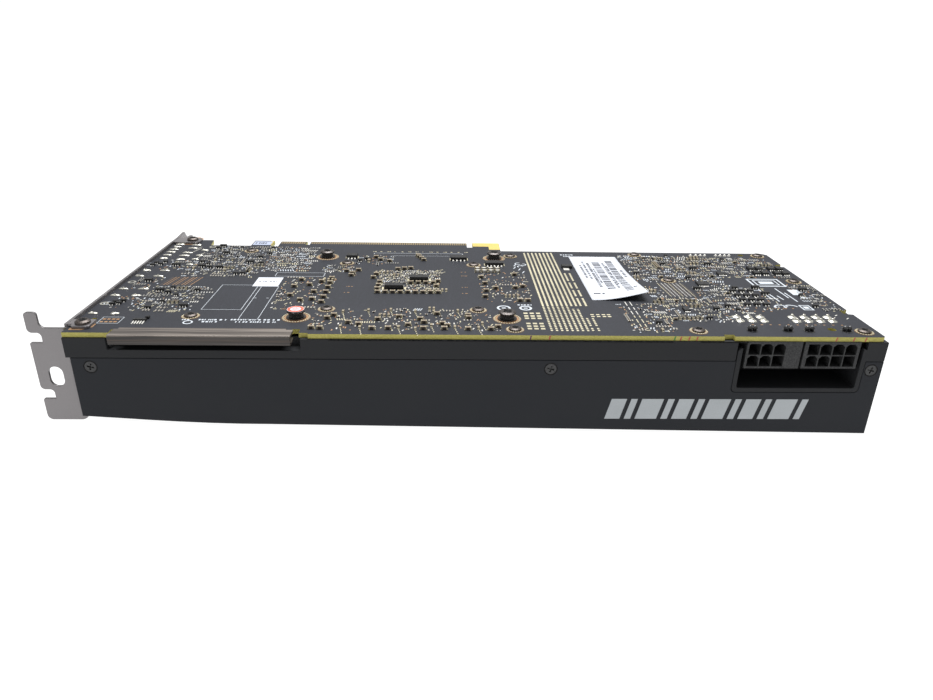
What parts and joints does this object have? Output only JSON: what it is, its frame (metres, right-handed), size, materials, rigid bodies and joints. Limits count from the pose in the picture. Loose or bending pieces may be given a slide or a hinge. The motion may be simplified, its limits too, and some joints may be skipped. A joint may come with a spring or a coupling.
{
  "type": "graphics card",
  "caption": "Dual-slot expansion card with a radial blower, slot bracket, power sockets, display sockets and a removable bridge-edge cover.",
  "frame": {"origin": "under the middle of the whole card, on the plane that it lies on", "axes": "+X along the card from the bracket to the tail, +Y towards the card-edge connector, +Z out of the back of the circuit board"},
  "size_m": [0.2802, 0.1276, 0.0414],
  "materials": {
    "board_laminate": "dark grey solder mask over woven glass laminate, olive raw edges",
    "gold_plating": "thin gold plating",
    "bracket_steel": "satin nickel-plated sheet steel",
    "dark_screw": "black oxide",
    "cover_plastic": "smoky translucent moulded plastic with fine draw marks",
    "frame_plastic": "fine matte texture",
    "shroud_plastic": "fine matte texture",
    "black_plastic": "moulded, satin",
    "polished_steel": "bright tin plating",
    "magnet": "bonded ferrite",
    "bronze": "oiled sintered bronze",
    "copper": "bare copper",
    "cast_metal": "satin",
    "green_laminate": "green solder mask",
    "wire_jacket": "soft jacket",
    "light_plastic": "ivory moulded plastic",
    "fin_aluminium": "rolled foil",
    "silicon": "polished silicon",
    "paste": "grey paste",
    "chip_resin": "moulded epoxy resin",
    "soft_pad": "soft blue-grey gap pad",
    "ferrite": "pressed ferrite",
    "solder": "tin solder, bright and slightly uneven",
    "label_paper": null,
    "seal_paper": "round paper seal"
  },
  "bodies": {
    "card": {"circuit_board": "board_laminate", "edge_contacts": "gold_plating", "bridge_contacts": "gold_plating", "bracket": "bracket_steel", "bracket_screws": "dark_screw", "base_frame": "frame_plastic", "shroud": "shroud_plastic", "shroud_screws": "dark_screw", "fan_bearing": "bronze", "fan_stator": "copper", "fan_motor_base": "cast_metal", "fan_motor_board": "green_laminate", "fan_screws": "dark_screw", "fan_cable": "wire_jacket", "fan_plug": "light_plastic", "fan_header": "light_plastic", "vapor_chamber": "copper", "fin_stack": "fin_aluminium", "gpu_package": "green_laminate", "gpu_die": "silicon", "gpu_stiffener": "polished_steel", "thermal_paste": "paste", "memory_chips": "chip_resin", "memory_pads": "soft_pad", "power_inductors": "ferrite", "power_stages": "chip_resin", "power_stage_pads": "soft_pad", "polymer_capacitors": "cast_metal", "power_socket_6": "black_plastic", "power_socket_8": "black_plastic", "power_pins": "polished_steel", "wide_socket_shell": "polished_steel", "wide_socket_body": "light_plastic", "wide_socket_posts": "polished_steel", "display_socket_shells": "polished_steel", "display_socket_tongues": "black_plastic", "oval_socket_shell": "polished_steel", "oval_socket_tongue": "black_plastic", "cooler_screws": "dark_screw", "cooler_springs": "polished_steel", "cooler_washers": "black_plastic", "board_screws": "dark_screw", "screw_pads": "copper", "back_bulk_caps": "chip_resin", "back_chips": "chip_resin", "back_transistors": "chip_resin", "power_solder": "solder", "socket_solder": "solder", "socket_pegs": "black_plastic", "test_pad_strips": "gold_plating", "wide_label": "label_paper", "small_labels": "label_paper", "screw_seal": "seal_paper"},
    "fan": {"fan_rotor": "black_plastic", "fan_blades": "black_plastic", "fan_rim": "black_plastic", "fan_shaft": "polished_steel", "fan_magnet_ring": "magnet"},
    "cover": {"bridge_cover": "cover_plastic"}
  },
  "joints": [
    {"name": "fan_spin", "type": "hinge", "parent": "card", "child": "fan", "pos_m": [0.09435, -0.0075, 0.016], "axis": [0, 0, 1], "continuous": true},
    {"name": "cover_slide", "type": "slide", "parent": "card", "child": "cover", "axis": [0, -1, 0], "range_m": [0, 0.012]}
  ]
}
